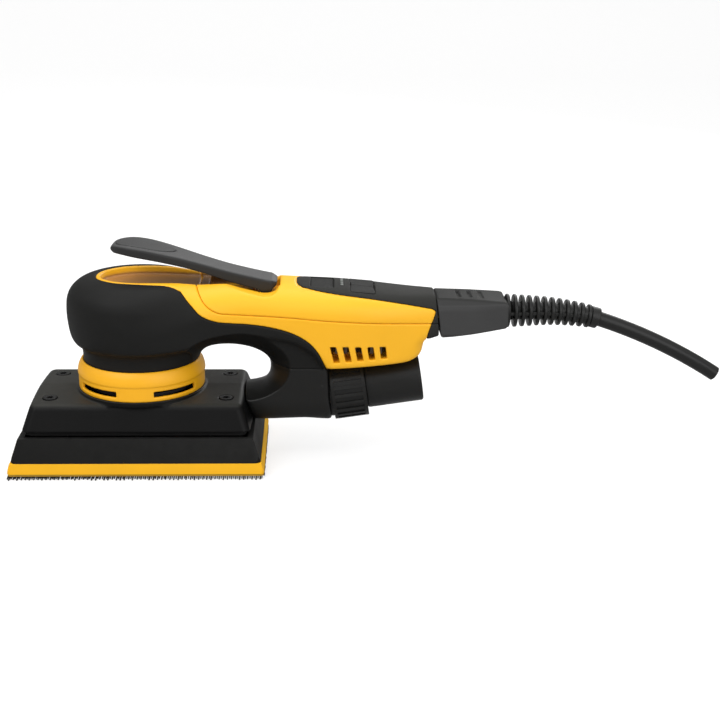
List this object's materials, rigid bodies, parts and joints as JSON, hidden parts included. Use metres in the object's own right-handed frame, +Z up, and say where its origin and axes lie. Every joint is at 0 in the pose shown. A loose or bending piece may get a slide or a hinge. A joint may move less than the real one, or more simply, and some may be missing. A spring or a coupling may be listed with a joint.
{
  "type": "electric orbital sander",
  "caption": "Compact electric orbital sander with a rectangular hook pad, round motor head, paddle lever, rear handle with control panel, dust outlet and plug-in cord.",
  "frame": {"origin": "where the motor axis meets the sanding face, with the pad at the rear-most point of its orbit in -Y", "axes": "+Z up along the motor axis away from the work, +X from the head towards the cord along the pad's length, +Y to the tool's left side seen from the cord"},
  "size_m": [0.3798, 0.081, 0.1168],
  "materials": {
    "abrasive_net": "coarse grit on an open net",
    "hook_layer": "short hook pile",
    "pad_cushion": "closed-cell foam, matt",
    "pad_plate": "fine grain",
    "yellow_shell": "smooth satin",
    "soft_grip": "soft matt",
    "panel": "fine grain",
    "black_plastic": "fine grain",
    "ring": "smooth satin",
    "seal": "soft matt",
    "screw_black": "black oxide",
    "steel": "ground",
    "laminated_steel": "stacked sheets",
    "copper": "enamelled wire",
    "magnet": "nickel plated",
    "cast_metal": "die cast",
    "fan_plastic": "moulded",
    "spring_steel": "bright",
    "board": "solder mask",
    "components": "moulded",
    "sink_metal": "extruded",
    "light_pipe": "frosted",
    "contact": "plated",
    "lever_plastic": "fine grain",
    "inlay": "soft matt",
    "button": "soft matt",
    "cable": "smooth sheath",
    "core_wire": "insulated wire"
  },
  "bodies": {
    "housing": {"main_housing": "yellow_shell", "top_cover": "yellow_shell", "grip_overmold": "soft_grip", "control_panel": "panel", "rear_trim": "panel", "collar_ring": "ring", "dust_shroud": "black_plastic", "shroud_seal": "seal", "shroud_screws": "screw_black", "pad_pillars": "seal", "dust_duct": "black_plastic", "duct_screws": "screw_black", "stator_core": "laminated_steel", "stator_coils": "copper", "lower_bearing": "steel", "upper_bearing": "steel", "bearing_bracket": "cast_metal", "bracket_screws": "screw_black", "lever_pin": "steel", "lever_spring": "spring_steel", "hall_switch": "components", "circuit_board": "board", "board_parts": "components", "heat_sink": "sink_metal", "button_board": "board", "button_switches": "components", "panel_lights": "light_pipe", "socket_block": "components", "contact_pins": "contact"},
    "spindle": {"motor_shaft": "steel", "rotor_magnets": "magnet", "counterweight": "cast_metal", "cooling_fan": "fan_plastic", "shaft_clip": "spring_steel"},
    "pad": {"eccentric_bearing": "steel", "pad_plate": "pad_plate", "plate_screws": "steel", "pad_cushion": "pad_cushion", "hook_layer": "hook_layer", "abrasive_net": "abrasive_net"},
    "lever": {"lever": "lever_plastic", "lever_inlay": "inlay", "lever_magnet": "magnet"},
    "cord": {"cord_connector": "panel", "contact_sleeves": "contact", "strain_relief": "cable", "cable_jacket": "cable", "cable_cores": "core_wire"},
    "power_button": {"power_button": "button"},
    "speed_up_button": {"speed_up_button": "button"},
    "speed_down_button": {"speed_down_button": "button"},
    "locking_sleeve": {"locking_sleeve": "black_plastic"},
    "hose_fitting": {"hose_fitting": "black_plastic", "outlet_seal": "seal"}
  },
  "joints": [
    {"name": "spindle_spin", "type": "hinge", "parent": "housing", "child": "spindle", "pos_m": [0, 0, 0.056], "axis": [0, 0, 1], "continuous": true, "deforming": ["pad_pillars"]},
    {"name": "pad_counter_spin", "type": "hinge", "parent": "spindle", "child": "pad", "pos_m": [0, -0.0015, 0.026], "axis": [0, 0, 1], "continuous": true},
    {"name": "lever_press", "type": "hinge", "parent": "housing", "child": "lever", "pos_m": [0.067, 0, 0.0936], "axis": [0, -1, 0], "range_deg": [0, 9], "deforming": ["lever_spring"]},
    {"name": "power_press", "type": "slide", "parent": "housing", "child": "power_button", "axis": [-0.0454, 0, -0.999], "range_m": [0, 0.0006]},
    {"name": "speed_up_press", "type": "slide", "parent": "housing", "child": "speed_up_button", "axis": [-0.0872, 0, -0.9962], "range_m": [0, 0.0006]},
    {"name": "speed_down_press", "type": "slide", "parent": "housing", "child": "speed_down_button", "axis": [-0.0872, 0, -0.9962], "range_m": [0, 0.0006]},
    {"name": "sleeve_turn", "type": "hinge", "parent": "housing", "child": "locking_sleeve", "pos_m": [0.11089, 0, 0.03704], "axis": [0.9895, 0, 0.1444], "range_deg": [0, 30]},
    {"name": "fitting_swivel", "type": "hinge", "parent": "housing", "child": "hose_fitting", "pos_m": [0.11089, 0, 0.03704], "axis": [0.9895, 0, 0.1444], "continuous": true},
    {"name": "cord_unplug", "type": "slide", "parent": "housing", "child": "cord", "axis": [1, 0, 0], "range_m": [0, 0.03]}
  ],
  "couplings": [
    {"joint": "pad_counter_spin", "follows": "spindle_spin", "ratio": -1}
  ]
}
